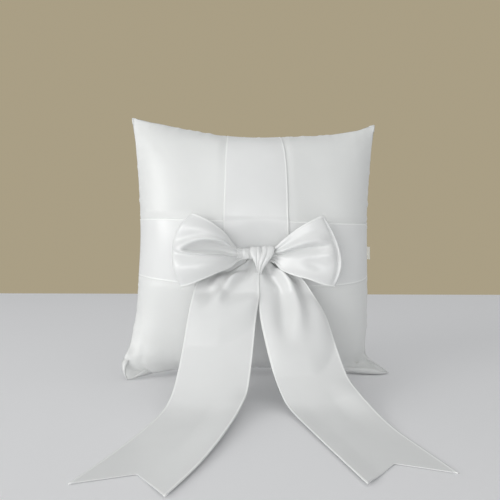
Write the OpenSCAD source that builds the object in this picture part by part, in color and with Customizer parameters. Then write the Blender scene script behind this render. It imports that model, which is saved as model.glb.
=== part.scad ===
// Ring bearer pillow: a stuffed satin pillow that stands on its lower edge, crossed by two
// ribbon bands, with a ribbon bow tacked to the middle and two swallow-tailed ribbon ends.
// Origin: middle of the resting edge. +Z up, -Y towards the bow, +X to the right of it.

/* [Pillow] */
// Width across the upper corners
pillow_w = 214; // [180:1:240]
// Height of the upper corners over the table
pillow_h = 216; // [200:1:232]
// Thickness through the middle
pillow_d = 74; // [60:1:80]
// How far the middle of each side edge is drawn in
side_pull = 9; // [4:1:11]
// How far the middle of the upper edge sags
top_sag = 14; // [4:1:16]
// Backward lean, in degrees
lean = 2; // [0:0.5:3]
// Depth of the lower edge that the standing pillow squashes flat, front to back
base_d = 34; // [28:1:38]
// How far the lower corners spread beyond the upper ones, each side
corner_splay = 6; // [0:1:8]
// Depth of the dimple behind the bow
tuft_d = 5; // [0:1:6]
// Thickness of the satin cover
panel_t = 0.6; // [0.4:0.1:1]

/* [Ribbon] */
// Width of the satin ribbon
ribbon_w = 50; // [46:1:52]
// Thickness of the satin ribbon
ribbon_t = 0.8; // [0.6:0.1:1]
// Depth of the V cut in each tail
notch_d = 21; // [10:1:25]

/* [Bow] */
// Height of the knot's middle over the table
knot_z = 100; // [96:1:104]
// Height of the knot
knot_h = 19; // [16:1:20]
// Width of the knot, along the bow
knot_w = 13; // [11:1:15]
// Thickness of the knot, front to back
knot_d = 13; // [12:1:14]
// Width of the drawn-in strip between the knot and the left loop
strip_w = 13; // [11:1:14]
// Height of the drawn-in strip
strip_h = 8.8; // [8:0.2:10]

/* [Stitches and label] */
// Length of one seam stitch
stitch_l = 2.4; // [2:0.2:3]
// Distance from one seam stitch to the next
stitch_pitch = 3.6; // [3.4:0.2:6]
// Radius of the sewing thread
thread_r = 0.35; // [0.2:0.05:0.4]
// Height of the folded side label
label_h = 11; // [8:1:16]
// How far the side label stands out of the seam
label_out = 4.5; // [3:0.5:6]

/* [Hidden] */

satin = [0.90, 0.91, 0.91];
ribbon_satin = [0.93, 0.94, 0.94];
fibre = [0.97, 0.97, 0.95];
thread = [0.86, 0.87, 0.86];

half_w = pillow_w / 2;
half_h = pillow_h / 2;
// The knot sits a little to the right, and the middle of the bands a little above it.
knot_x = 5.7;
band_up = 8;
label_up = 1.5;
// The holes are [height, depth].
knot_hole = [11, 5];
strip_hole = [5.6, 3.4];
strip_d = 5;
strip_up = 4.4;
tuft_r = 24;
ear_reach = 7;
seam_blunt = 0.4;
base_in = 0.92;
front = -1;
back = 1;

// ---- Grid lines of the cover, finer where it turns over at the seams ----
// s runs from the left seam (-1) to the right (1), t from the lower seam (-1) to the upper (1).
edge_steps = 9;
band_steps = 4;
band_s = ribbon_w / 2 / half_w;
band_t = ribbon_w / 2 / half_h;
band_mid_t = (knot_z + band_up) / half_h - 1;
step_over = 0.012;

function spread(a, b, n) = [for (i = [0:n - 1]) a + (b - a) * (1 - cos(90 * i / n))];
function even(a, b, n) = [for (i = [0:n - 1]) a + (b - a) * i / n];
function flip(v) = [for (i = [len(v) - 1:-1:0]) v[i]];
function lines(lo, hi) = concat(
    spread(-1, lo - step_over, edge_steps),
    [lo - step_over],
    even(lo, hi, band_steps),
    [hi, hi + step_over],
    flip(spread(1, hi + step_over, edge_steps))
);
s_lines = lines(-band_s, band_s);
t_lines = lines(band_mid_t - band_t, band_mid_t + band_t);
first_in = edge_steps + 1;
last_in = first_in + band_steps;

function in_band(v, lo, hi) = v > lo - 1e-6 && v < hi + 1e-6;
function crossing(s, t) =
    in_band(s, -band_s, band_s) && in_band(t, band_mid_t - band_t, band_mid_t + band_t);

// ---- Surface of the pillow ----
// Fullness of the stuffing, 1 at the middle and 0 at the seams; the lower half is fuller, and
// comes down to the edges of the flattened base.
base_share = base_d / pillow_d;
function across(s) = pow(max(0, 1 - s * s), 0.6);
function upward(t) =
    t < 0 ? base_share + (1 - base_share) * pow(max(0, 1 - pow(-t, 2.4)), 0.6)
    : pow(max(0, 1 - t * t), 0.6);
// The lower corners turn out as ears, the left one forward and the right one back.
function ear(s, t) = pow(abs(s), 8) * exp(-9 * (t + 1));
// The stuffing's rim is blunt, and the two panels meet round it.
function rim(out, full) = seam_blunt * max(0, 1 - out / panel_t) * pow(1 - full, 4);
function width_at(s, t, out) =
    (half_w - panel_t + out) * s - side_pull * s * (1 - t * t) + corner_splay * sign(s) * ear(s, t);
function height_at(s, t, out) =
    panel_t + t * (t < 0 ? min(out, panel_t) : out)
    + (half_h - panel_t) * (t + 1) - top_sag * (1 - s * s) * pow(max(0, t), 2);

// A point of the pillow's front or back, out from the stuffing. A t below -1 is the middle of
// the flattened base, where the lower seam runs.
function skin(s, t, side, out) =
    let (
        at_t = max(-1, t),
        x = width_at(t < -1 ? base_in * s : s, at_t, out),
        z = height_at(s, at_t, out),
        tuft = side == front ? tuft_d * exp(-(pow(x - knot_x, 2)
            + pow(z - knot_z, 2)) / pow(tuft_r, 2)) : 0,
        full = t < -1 ? 0 : across(s) * upward(at_t),
        corner = t == -1 ? seam_blunt * (2 + out) : 0,
        y = side * ((pillow_d / 2 + out) * full + rim(out, full) + corner) + tuft
            + ear_reach * sign(s) * ear(s, at_t)
    )
    [x, y + z * tan(lean), z];

// The tails lie between the crossing of the bands and the back of the knot.
knot_back = skin(knot_x / half_w, knot_z / half_h - 1, front, panel_t + 2 * ribbon_t)[1];
knot_y = knot_back - ribbon_t - knot_d / 2;
strip_x = knot_x - knot_w / 2 - strip_w / 2;

// ---- Closed solids from grids of points ----
// Faces of a grid of rows x cols points that starts at point number k; turned shows its back.
function grid_faces(k, rows, cols, turned) = [
    for (i = [0:rows - 2], j = [0:cols - 2])
        let (a = k + i * cols + j, b = a + 1, c = a + cols, d = c + 1)
        each turned ? [[a, d, c], [a, b, d]] : [[a, c, d], [a, d, b]]
];
function rim_numbers(rows, cols) = concat(
    [for (j = [0:cols - 2]) j],
    [for (i = [0:rows - 2]) i * cols + cols - 1],
    [for (j = [cols - 1:-1:1]) (rows - 1) * cols + j],
    [for (i = [rows - 1:-1:1]) i * cols]
);
// The first rim face lies along the lower edge, clear of the corners.
rim_start = 12;
function flat_list(grid) = [for (row = grid) each row];

// A sheet between two grids of points, the one nearer the viewer and the one behind it, closed
// round its rim. Rows run upwards and columns to the right.
module layer(upper, lower) {
    rows = len(upper);
    cols = len(upper[0]);
    n = rows * cols;
    rim = rim_numbers(rows, cols);
    m = len(rim);
    sides = [
        for (k = [0:m - 1])
            let (i = (k + rim_start) % m, a = rim[i], b = rim[(i + 1) % m])
            each [[a, b, n + b], [a, n + b, n + a]]
    ];
    polyhedron(
        concat(flat_list(upper), flat_list(lower)),
        concat(sides, grid_faces(0, rows, cols, false), grid_faces(n, rows, cols, true)),
        convexity = 6
    );
}

// A ribbon of thickness ribbon_t whose middle surface is the grid.
function minus(v, w) = [for (i = [0:2]) v[i] - w[i]];
function unit(v) = v / norm(v);
function slope_rows(g, i, j) = g[min(i + 1, len(g) - 1)][j] - g[max(i - 1, 0)][j];
function slope_cols(g, i, j) = g[i][min(j + 1, len(g[0]) - 1)] - g[i][max(j - 1, 0)];
function normal(g, i, j) = unit(cross(slope_rows(g, i, j), slope_cols(g, i, j)));
function shifted(g, by) = [
    for (i = [0:len(g) - 1]) [for (j = [0:len(g[0]) - 1]) g[i][j] + normal(g, i, j) * by]
];
module ribbon(g) {
    layer(shifted(g, -ribbon_t / 2), shifted(g, ribbon_t / 2));
}

// ---- Smooth curves through a few stations ----
function knots(p, i) = p[max(0, min(i, len(p) - 1))];
function spline_at(p, i, u) = 0.5 * (
    2 * knots(p, i)
    + (knots(p, i + 1) - knots(p, i - 1)) * u
    + (2 * knots(p, i - 1) - 5 * knots(p, i) + 4 * knots(p, i + 1) - knots(p, i + 2)) * u * u
    + (3 * knots(p, i) - knots(p, i - 1) - 3 * knots(p, i + 1) + knots(p, i + 2)) * u * u * u
);
function spline(p, n) = concat(
    [for (i = [0:len(p) - 2], k = [0:n - 1]) spline_at(p, i, k / n)],
    [p[len(p) - 1]]
);

// ---- Cover and filling ----
base_t = -1.1;
function cover_grid(side, out) = [
    for (t = concat([base_t], t_lines)) [for (s = s_lines) skin(s, t, side, out)]
];

module fibre_filling() {
    color(fibre)
    layer(cover_grid(front, 0), cover_grid(back, 0));
}
module front_panel() {
    color(satin)
    layer(cover_grid(front, panel_t), cover_grid(front, 0));
}
module back_panel() {
    color(satin)
    layer(cover_grid(back, 0), cover_grid(back, panel_t));
}

// ---- Bands sewn into the seams, the vertical one over the horizontal one ----
function band_lift(s, t, upper) = panel_t + (crossing(s, t) ? upper * ribbon_t : 0);

module horizontal_band() {
    rows = [for (i = [first_in:last_in]) t_lines[i]];
    color(ribbon_satin)
    layer(
        [for (t = rows) [for (s = s_lines) skin(s, t, front, panel_t + ribbon_t)]],
        [for (t = rows) [for (s = s_lines) skin(s, t, front, panel_t)]]
    );
}
module vertical_band() {
    cols = [for (i = [first_in:last_in]) s_lines[i]];
    color(ribbon_satin)
    layer(
        [for (t = t_lines) [for (s = cols) skin(s, t, front, band_lift(s, t, 1) + ribbon_t)]],
        [for (t = t_lines) [for (s = cols) skin(s, t, front, band_lift(s, t, 1))]]
    );
}

// ---- Bow ----
// Each station of a loop: [upper edge x, y, z, lower edge x, y, z] from the middle of the knot,
// out along the front layer, round the outer fold and back behind.
left_loop = [
    [-4, -1.3, 5, -4, -1.3, 0],
    [-8, -1.3, 7, -8, -1.3, 1.8],
    [-18, -1.3, 7, -18, -1.3, 1.8],
    [-25, -4.5, 13, -25, -5, -2],
    [-36, -11, 23, -37, -12.5, -8.5],
    [-47, -15.5, 32, -51, -17.5, -14],
    [-54, -16, 36, -62, -17.5, -17],
    [-59, -11.5, 32, -67, -11.5, -17.5],
    [-56, -5.5, 31, -63, -5, -16],
    [-44, -1, 24, -47, 0, -11],
    [-30, 1, 14, -30, 1, -4],
    [-18, 1.3, 7, -18, 1.3, 1.8],
    [-8, 1.3, 7, -8, 1.3, 1.8],
    [-4, 1.3, 5, -4, 1.3, 0]
];
right_loop = [
    [-2, -2.1, 4.8, -2, -2.1, -4.8],
    [7, -2.1, 5, 7, -2.1, -5],
    [13, -5, 12, 13, -5.5, -7.5],
    [23, -11, 21.5, 24, -12.5, -12],
    [33, -15.5, 30, 36, -17.5, -16],
    [41, -16, 34, 47, -18, -18.5],
    [46, -11.5, 30, 53, -12, -19],
    [43, -5.5, 29, 49, -5, -17.5],
    [31, -1, 22, 34, 0, -12.5],
    [18, 1.5, 12, 18, 1.5, -7],
    [7, 2.1, 5, 7, 2.1, -5],
    [-2, 2.1, 4.8, -2, 2.1, -4.8]
];
loop_steps = 4;
loop_cols = 6;
function loop_grid(stations) = [
    for (p = spline(stations, loop_steps)) [
        for (j = [0:loop_cols]) let (w = j / loop_cols, at = [knot_x, knot_y, knot_z])
            [for (k = [0:2]) at[k] + p[k] * (1 - w) + p[k + 3] * w]
    ]
];
module bow_loop_left() {
    color(ribbon_satin)
    ribbon(loop_grid(left_loop));
}
module bow_loop_right() {
    color(ribbon_satin)
    ribbon(loop_grid(right_loop));
}

// Each station of a tail: [middle x, y, z, half width, heading away from straight ahead]. The
// places are from the middle of the resting edge, but y is from the back of the knot.
flat_z = ribbon_t / 2;
half_ribbon = ribbon_w / 2;
left_tail = [
    [-3.5, -0.4, 102, 5, 0],
    [-5, -0.9, 97, 6.2, 0],
    [-8, -3, 91, 9, 0],
    [-12, -8, 86, 13.8, 2],
    [-18, -14, 79, 19, 4],
    [-22, -20, 73, 22.5, 6],
    [-26, -30, 60, half_ribbon, 8],
    [-30.5, -45, 40, half_ribbon, 11],
    [-35.5, -62, 20, half_ribbon, 14],
    [-40, -78, 6, half_ribbon, 17],
    [-46, -94, flat_z, half_ribbon, 19],
    [-58, -128, flat_z, half_ribbon, 19],
    [-70, -163, flat_z, half_ribbon, 19],
    [-82, -197, flat_z, half_ribbon, 22]
];
right_tail = [
    [7.2, -0.4, 102, 5, 0],
    [8.6, -0.9, 97, 6.2, 0],
    [11, -3, 91, 8.6, 0],
    [14.8, -8, 86, 12, -2],
    [19.5, -14, 79, 16, -3],
    [22.5, -20, 73, 19, -4],
    [27, -30, 60, 23.5, -5],
    [31.5, -45, 40, half_ribbon, -6],
    [36.5, -62, 20, half_ribbon, -6],
    [42, -78, 6, half_ribbon, -6],
    [46.5, -94, flat_z, half_ribbon, -6],
    [50.5, -130, flat_z, half_ribbon, -6],
    [54.5, -164, flat_z, half_ribbon, -6],
    [58.5, -199, flat_z, half_ribbon, -9]
];
tail_steps = 4;
tail_cols = 6;
function tail_point(p, w) = [
    p[0] + w * p[3] * cos(p[4]),
    knot_back + p[1] - w * p[3] * sin(p[4]),
    max(p[2], flat_z)
];
// The V cut shortens the rows towards the middle of the ribbon.
function tail_grid(stations) = let (fine = spline(stations, tail_steps), last = len(fine) - 1) [
    for (i = [0:last]) [
        for (j = [0:tail_cols]) let (
            w = 2 * j / tail_cols - 1,
            cut = notch_d * (1 - abs(w)) * min(1, max(0, i - last + tail_steps) / tail_steps),
            p = tail_point(fine[i], w),
            dir = unit(tail_point(fine[last], 0) - tail_point(fine[last - 1], 0))
        ) p - dir * cut
    ]
];
module bow_tail_left() {
    color(ribbon_satin)
    ribbon(tail_grid(left_tail));
}
module bow_tail_right() {
    color(ribbon_satin)
    ribbon(tail_grid(right_tail));
}

// An upright ring with round ends, wrapped round the necks of the loops. Its hole, [height,
// depth], runs along the bow.
module wrap(x, z, width, h, depth, hole) {
    r = depth / 2;
    translate([x - width / 2, knot_y, z])
    rotate([0, 90, 0])
    linear_extrude(width)
    difference() {
        union() {
            square([h - 2 * r, 2 * r], center = true);
            for (end = [-1, 1])
                translate([end * (h / 2 - r), 0])
                circle(r, $fn = 48);
        }
        square(hole, center = true);
    }
}
module knot_wrap() {
    color(ribbon_satin)
    wrap(knot_x, knot_z, knot_w, knot_h, knot_d, knot_hole);
}
module knot_band() {
    color(ribbon_satin)
    wrap(strip_x, knot_z + strip_up, strip_w, strip_h, strip_d, strip_hole);
}

// ---- Threads and label ----
module rod(a, b, r) {
    d = b - a;
    translate(a)
    rotate([0, acos(d[2] / norm(d)), atan2(d[1], d[0])])
    cylinder(h = norm(d), r = r, $fn = 16);
}
// Stitches sit in the crease of the seam, between the two panels.
seam_in = panel_t - thread_r;
function seam_point(edge, v) =
    edge == "top" ? skin(v, 1, back, seam_in) : skin(edge == "left" ? -1 : 1, v, back, seam_in);
module seam_run(edge, from, to) {
    length = norm(seam_point(edge, to) - seam_point(edge, from));
    n = floor(length / stitch_pitch);
    share = stitch_l / length * (to - from) / 2;
    for (i = [0:n - 1]) {
        v = from + (to - from) * (i + 0.5) / n;
        rod(seam_point(edge, v - share), seam_point(edge, v + share), thread_r);
    }
}
module seam_stitches() {
    color(thread) {
        seam_run("left", -0.82, 0.97);
        seam_run("top", -0.97, 0.97);
        seam_run("right", -0.82, 0.97);
    }
}
// Hand-sewn ladder stitches that close the lower seam after stuffing.
closing_l = 80;
closing_pitch = 5;
closing_stitch = 2.6;
module closing_stitches() {
    n = floor(closing_l / closing_pitch);
    color(thread)
    for (i = [0:n - 1])
        translate([(i - (n - 1) / 2) * closing_pitch, 0, thread_r])
        rotate([90, 0, 0])
        cylinder(h = closing_stitch, r = thread_r, center = true, $fn = 16);
}
// Four short threads hold the knot and the tails to the crossing of the bands.
tack_out = 3;
tack_in = 4;
module bow_tack_stitches() {
    color(thread)
    for (dx = [-5.5, 2.5], dz = [-2, 2])
        let (at = [knot_x + dx, knot_back, knot_z + dz])
        rod(at - [0, tack_out, 0], at + [0, tack_in, 0], thread_r);
}
// A blank folded label caught in the right seam.
label_t = 1;
module side_label() {
    seam = skin(1, (knot_z + label_up) / half_h - 1, back, panel_t);
    color(ribbon_satin)
    translate([seam[0], seam[1] - label_t / 2, seam[2] - label_h / 2])
    cube([label_out, label_t, label_h]);
}

fibre_filling();
front_panel();
back_panel();
seam_stitches();
closing_stitches();
horizontal_band();
vertical_band();
bow_loop_left();
bow_loop_right();
bow_tail_left();
bow_tail_right();
knot_band();
knot_wrap();
bow_tack_stitches();
side_label();
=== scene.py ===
import math

import bpy
import numpy as np
from mathutils import Matrix, Vector


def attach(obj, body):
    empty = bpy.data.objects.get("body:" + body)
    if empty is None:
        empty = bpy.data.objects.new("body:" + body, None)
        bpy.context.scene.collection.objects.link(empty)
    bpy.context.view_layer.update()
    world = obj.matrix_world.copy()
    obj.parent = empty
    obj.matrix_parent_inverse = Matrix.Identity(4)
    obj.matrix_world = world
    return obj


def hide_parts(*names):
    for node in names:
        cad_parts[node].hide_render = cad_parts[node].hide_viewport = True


# Ring bearer pillow: a stuffed satin pillow crossed by two ribbons, with a satin bow and two tails.
# Lengths below are in millimetres where a note says so, and meshes are made in metres.
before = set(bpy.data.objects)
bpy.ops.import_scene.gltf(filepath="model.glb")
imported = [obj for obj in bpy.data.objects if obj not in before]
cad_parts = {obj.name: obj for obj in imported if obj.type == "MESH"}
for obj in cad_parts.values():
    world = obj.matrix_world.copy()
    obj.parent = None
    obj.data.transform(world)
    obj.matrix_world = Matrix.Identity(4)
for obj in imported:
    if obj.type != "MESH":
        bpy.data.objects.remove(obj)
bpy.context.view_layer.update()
bpy.ops.object.select_all(action="DESELECT")
mm = 0.001
print("frame loaded:", len(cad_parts), "nodes")


# small maths helpers
def splineAt(stations, at):
    # a smooth curve through the stations, read at any place from 0 to the last one
    p = np.asarray(stations, float)
    at = np.asarray(at, float)
    i = np.clip(at.astype(int), 0, len(p) - 2)
    u = (at - i).reshape((-1,) + (1,) * (p.ndim - 1))
    before, here, after, beyond = (p[np.clip(i + k, 0, len(p) - 1)] for k in (-1, 0, 1, 2))
    return 0.5 * (
        2 * here + (after - before) * u + (2 * before - 5 * here + 4 * after - beyond) * u**2
        + (3 * here - before - 3 * after + beyond) * u**3
    )


def surfaceAt(grid, rowAt, colAt):
    # the same through a grid of points, at every crossing of rowAt and colAt
    rows = splineAt(grid, rowAt)
    return splineAt(rows.swapaxes(0, 1), colAt).swapaxes(0, 1)


def ease(low, high, value):
    # 0 below low, 1 above high, smooth between
    t = np.clip((value - low) / (high - low), 0, 1)
    return t * t * (3 - 2 * t)


def bump(value, middle, reach):
    # 1 at the middle, 0 from reach away
    return np.clip(1 - ((value - middle) / reach) ** 2, 0, 1) ** 2


def hill(value, middle, reach):
    # 1 at the middle, fading smoothly to both sides
    return np.exp(-((value - middle) / reach) ** 2)


def outward(grid):
    # unit normals of a grid whose rows run up and whose columns run to the right, seen from outside
    n = np.cross(np.gradient(grid, axis=1), np.gradient(grid, axis=0))
    return n / np.maximum(np.linalg.norm(n, axis=2, keepdims=True), 1e-12)


def blurred(grid, passes):
    # smooths a grid and keeps its rim
    g = grid.copy()
    for _ in range(passes):
        g[1:-1] = (g[:-2] + 2 * g[1:-1] + g[2:]) / 4
        g[:, 1:-1] = (g[:, :-2] + 2 * g[:, 1:-1] + g[:, 2:]) / 4
    return g


def wayAlong(points):
    # how far along a line each of its points lies
    return np.concatenate([[0], np.cumsum(np.linalg.norm(np.diff(points, axis=0), axis=1))])


def shown(value):
    # metres as millimetres, for the print lines
    return round(float(value) / mm, 1)


# mesh helpers
def addObject(name, data):
    made = bpy.data.objects.new(name, data)
    bpy.context.collection.objects.link(made)
    return made


def shadeSmooth(mesh):
    mesh.polygons.foreach_set("use_smooth", [True] * len(mesh.polygons))


def quadsOf(at):
    # the faces between the rows and columns of a grid of point numbers
    return np.stack([at[:-1, :-1], at[:-1, 1:], at[1:, 1:], at[1:, :-1]], axis=2).reshape(-1, 4)


woven = {"edge": 1.1 * mm, "inside": 0.6}  # a ribbon's thick edge, and how thick the rest is beside it


def clothSheet(name, grid, flatU, flatV, thick, offset=0.0, closed=False, selvage=False):
    # a thin closed sheet from a grid of points, with its flat place in metres as its UV map
    rows, cols = grid.shape[:2]
    number = np.arange(rows * cols).reshape(rows, cols)
    faces = quadsOf(np.concatenate([number, number[:1]]) if closed else number)
    mesh = bpy.data.meshes.new(name)
    mesh.from_pydata(grid.reshape(-1, 3).tolist(), [], faces.tolist())
    # a closed sheet's first row has a second place on the map, after the last one
    flat = np.stack(np.meshgrid(flatU, flatV), axis=2).reshape(-1, 2)
    corners = quadsOf(np.arange(len(flat)).reshape(-1, cols))
    layer = mesh.uv_layers.new(name="flat")
    layer.data.foreach_set("uv", flat[corners].astype(np.float32).ravel())
    piece = addObject(name, mesh)
    solid = piece.modifiers.new("thickness", "SOLIDIFY")
    solid.thickness = thick
    solid.offset = offset
    if selvage:
        edge = piece.vertex_groups.new(name="selvage")
        reach = np.abs(flatU).max()
        inEdge = [j for j in range(cols) if reach - abs(flatU[j]) < woven["edge"]]
        edge.add([i * cols + j for i in range(rows) for j in inEdge], 1.0, "REPLACE")
        solid.vertex_group = "selvage"
        solid.thickness_vertex_group = woven["inside"]
    applyAll(piece)
    shadeSmooth(mesh)
    return piece


def applyAll(piece):
    bpy.ops.object.select_all(action="DESELECT")
    piece.select_set(True)
    bpy.context.view_layer.objects.active = piece
    for modifier in list(piece.modifiers):
        bpy.ops.object.modifier_apply(modifier=modifier.name)
    piece.select_set(False)


# the camera, at the height of a person sitting at the table
cameraSet = {
    "place": (-0.040, -0.492, 0.115),
    "look": (0.0785, 0.997, -0.0178),
    "roll": 0.6,  # degrees
    "lens": 41.4,
}


def makeCamera():
    camera = addObject("camera", bpy.data.cameras.new("camera"))
    camera.data.lens = cameraSet["lens"]
    camera.data.sensor_width = 36
    camera.data.clip_start = 0.01
    camera.location = cameraSet["place"]
    turn = Vector(cameraSet["look"]).to_track_quat("-Z", "Y").to_matrix().to_4x4()
    camera.rotation_euler = turn.to_euler()
    camera.rotation_euler.rotate_axis("Z", math.radians(cameraSet["roll"]))
    bpy.context.scene.camera = camera


makeCamera()


# materials
def feed(tree, socket, value):
    # links an output to the socket, or sets the socket's own number or colour
    if isinstance(value, bpy.types.NodeSocket):
        tree.links.new(value, socket)
    else:
        socket.default_value = value


def node(tree, kind, place, takes=(), **values):
    # a new node: takes feeds its inputs in order, and values its settings and inputs by name
    made = tree.nodes.new(kind if kind.startswith("Node") else "ShaderNode" + kind)
    made.location = place
    for key, value in values.items():
        if key in made.inputs.keys():
            feed(tree, made.inputs[key], value)
        else:
            setattr(made, key, value)
    for socket, value in zip(made.inputs, takes):
        feed(tree, socket, value)
    return made


def blendOf(tree, place, dark, light, share):
    # a colour between two others
    dark, light = (c if isinstance(c, bpy.types.NodeSocket) else (*c, 1) for c in (dark, light))
    mix = node(tree, "Mix", place, data_type="RGBA", A=dark, B=light, Factor=share)
    return mix.outputs["Result"]


def newMaterial(name):
    material = bpy.data.materials.new(name)
    material.use_nodes = True
    return material, material.node_tree, material.node_tree.nodes["Principled BSDF"]


satin = {
    "floats": (0.16, 1.0, 1.0),  # the floats are long across the cloth
    "yarnHeight": 0.05,
    "slubs": 420.0,  # per metre
    "slubHeight": 0.025,
    "clouds": 38.0,  # per metre
    "edge": (1.5, 0.9),  # mm from a ribbon's rim, between which its woven edge begins, painted lighter as a painted highlight line
    "patchy": 0.03,  # how much the roughness varies
    "relief": 0.4,  # mm
}


def satinWeave():
    # fine floats of the weave, slubs, and the soft unevenness of pressed satin
    group = bpy.data.node_groups.new("satinWeave", "ShaderNodeTree")
    for name, kind, default in (
        ("Flat", "NodeSocketVector", None),
        ("Yarns per metre", "NodeSocketFloat", 2600.0),
        ("Unevenness", "NodeSocketFloat", 1.0),
    ):
        socket = group.interface.new_socket(name, in_out="INPUT", socket_type=kind)
        if default is not None:
            socket.default_value = default
    for name in ("Height", "Tone"):
        group.interface.new_socket(name, in_out="OUTPUT", socket_type="NodeSocketFloat")

    def maths(place, operation, *takes):
        return node(group, "Math", place, takes, operation=operation).outputs[0]

    def noise(place, vector, scale, **values):
        made = node(group, "TexNoise", place, Vector=vector, Scale=scale, **values)
        return made.outputs["Fac"]

    start = node(group, "NodeGroupInput", (-900, 0)).outputs
    stretch = node(group, "VectorMath", (-700, 200), operation="MULTIPLY",
                   takes=(start["Flat"], satin["floats"])).outputs[0]
    yarn = noise((-480, 200), stretch, start["Yarns per metre"], Detail=1.0, Roughness=0.5)
    slubs = noise((-480, -20), stretch, satin["slubs"], Detail=2.0)
    soft = noise((-480, -240), start["Flat"], satin["clouds"], Detail=2.0, Roughness=0.45)
    fine = maths((-220, 200), "MULTIPLY", yarn, satin["yarnHeight"])
    middle = maths((-220, 0), "MULTIPLY", slubs, satin["slubHeight"])
    wide = maths((-220, -200), "MULTIPLY", soft, start["Unevenness"])
    height = maths((200, 60), "ADD", maths((0, 100), "ADD", fine, middle), wide)
    tone = node(group, "MapRange", (200, -200), Value=soft, **{"From Min": 0.3, "From Max": 0.7})
    node(group, "NodeGroupOutput", (700, 0), Height=height, Tone=tone.outputs["Result"])
    return group


weave = satinWeave()


def clothMaterial(name, finish):
    # woven cloth on the piece's flat map; the last millimetre of a ribbon is its woven edge, painted lighter
    # as a painted highlight line along the rim
    material, tree, cloth = newMaterial(name)
    flat = node(tree, "UVMap", (-1100, 0), uv_map="flat").outputs["UV"]
    pattern = node(tree, "Group", (-850, 0), node_tree=weave, Flat=flat,
                   **{"Yarns per metre": finish["yarns"], "Unevenness": finish["unevenness"]}).outputs
    colour = blendOf(tree, (-500, 200), finish["dark"], finish["light"], pattern["Tone"])
    # a ribbon's woven edge gets a lighter tone: a painted highlight line along its rim
    if "halfWidth" in finish:
        parts = node(tree, "SeparateXYZ", (-850, -300), [flat])
        out = node(tree, "Math", (-650, -300), [parts.outputs["X"]], operation="ABSOLUTE")
        begins, ends = (finish["halfWidth"] - step * mm for step in satin["edge"])
        edge = node(tree, "MapRange", (-450, -300), interpolation_type="SMOOTHSTEP",
                    Value=out.outputs[0], **{"From Min": begins, "From Max": ends})
        colour = blendOf(tree, (-250, 200), colour, finish["selvage"], edge.outputs["Result"])
    rough = node(tree, "MapRange", (-450, -80), Value=pattern["Tone"],
                 **{"To Min": finish["rough"] - satin["patchy"], "To Max": finish["rough"] + satin["patchy"]})
    relief = node(tree, "Bump", (-250, -200), Strength=finish["bump"], Distance=satin["relief"] * mm,
                  Height=pattern["Height"])
    for socket, value in (
        ("Base Color", colour), ("Roughness", rough.outputs["Result"]), ("Normal", relief.outputs["Normal"]),
        ("Sheen Weight", finish["sheen"]), ("Sheen Roughness", 0.35),
        ("Specular IOR Level", finish["specular"]), ("Anisotropic", finish["anisotropic"]),
    ):
        feed(tree, cloth.inputs[socket], value)
    return material


coverFinish = {
    "yarns": 2600.0, "unevenness": 1.6, "bump": 0.16, "rough": 0.41,
    "dark": (0.785, 0.795, 0.785), "light": (0.80, 0.81, 0.80),
    "sheen": 0.08, "specular": 0.7, "anisotropic": 0.35,
}
ribbonFinish = {
    "yarns": 3200.0, "unevenness": 1.0, "bump": 0.12, "rough": 0.33,
    # the selvage tone paints the woven edge lighter, a painted highlight line
    "dark": (0.80, 0.808, 0.804), "light": (0.82, 0.828, 0.824), "selvage": (0.92, 0.93, 0.92),
    "halfWidth": 0.025, "sheen": 0.08, "specular": 0.8, "anisotropic": 0.4,
}
labelFinish = {
    "yarns": 1400.0, "unevenness": 0.2, "bump": 0.6, "rough": 0.6,
    "dark": (0.80, 0.78, 0.70), "light": (0.88, 0.86, 0.79),
    "sheen": 0.1, "specular": 0.3, "anisotropic": 0.0,
}
coverSatin = clothMaterial("coverSatin", coverFinish)
ribbonSatin = clothMaterial("ribbonSatin", ribbonFinish)
labelTape = clothMaterial("labelTape", labelFinish)


def strandMaterial(name, finish):
    # thread and fibre: one pattern gives the tone and the relief
    material, tree, strand = newMaterial(name)
    place = node(tree, "TexCoord", (-900, 0)).outputs["Object"]
    pattern = node(tree, finish["pattern"], (-650, 0), Vector=place, **finish["settings"]).outputs["Fac"]
    shade = blendOf(tree, (-350, 150), finish["dark"], finish["light"], pattern)
    feed(tree, strand.inputs["Base Color"], shade)
    relief = node(tree, "Bump", (-350, -150), Strength=finish["bump"],
                  Distance=finish["deep"] * mm, Height=pattern)
    feed(tree, strand.inputs["Normal"], relief.outputs["Normal"])
    feed(tree, strand.inputs["Roughness"], finish["rough"])
    return material


threadFinish = {  # two-ply thread: a fine twist round the stitch
    "pattern": "TexWave",
    "settings": {"bands_direction": "DIAGONAL", "Scale": 900.0, "Distortion": 0.6},
    "dark": (0.72, 0.73, 0.72), "light": (0.86, 0.87, 0.86), "bump": 0.5, "deep": 0.1, "rough": 0.5,
}
fibreFinish = {  # tangled polyester fibre
    "pattern": "TexNoise",
    "settings": {"Scale": 260.0, "Detail": 6.0, "Distortion": 1.5},
    "dark": (0.78, 0.78, 0.75), "light": (0.93, 0.93, 0.90), "bump": 0.9, "deep": 1.0, "rough": 0.95,
}
threadTwist = strandMaterial("threadTwist", threadFinish)
fibreFluff = strandMaterial("fibreFluff", fibreFinish)
print("materials ready")


def register(piece, material, slotName, *nodes):
    piece.data.materials.clear()
    piece.data.materials.append(material)
    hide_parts(*nodes)
    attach(piece, "root")
    return piece


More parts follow.
